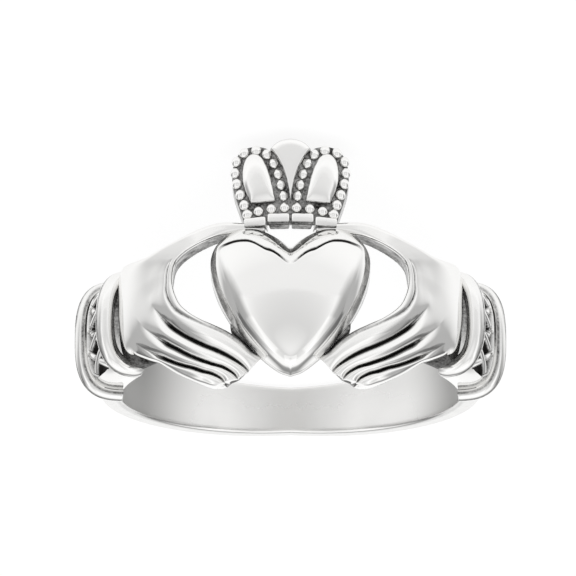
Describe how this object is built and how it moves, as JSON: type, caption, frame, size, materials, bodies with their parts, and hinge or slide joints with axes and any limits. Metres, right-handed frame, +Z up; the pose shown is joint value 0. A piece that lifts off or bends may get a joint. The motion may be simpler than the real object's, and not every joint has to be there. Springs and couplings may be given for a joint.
{
  "type": "claddagh ring",
  "caption": "Claddagh ring in polished silver: cuffed hands hold a crowned heart, on a plain band that tapers to the back.",
  "frame": {"origin": "on the surface that the ring lies on, under the middle of its bounding box", "axes": "+Z up, with the ring on its side and the crown down; the heart faces -Y; X runs across the ring from hand to hand"},
  "size_m": [0.0218, 0.0221, 0.0123],
  "materials": {
    "silver": "polished sterling silver, darkened in the recesses"
  },
  "bodies": {
    "root": {"ring": "silver"}
  },
  "joints": []
}
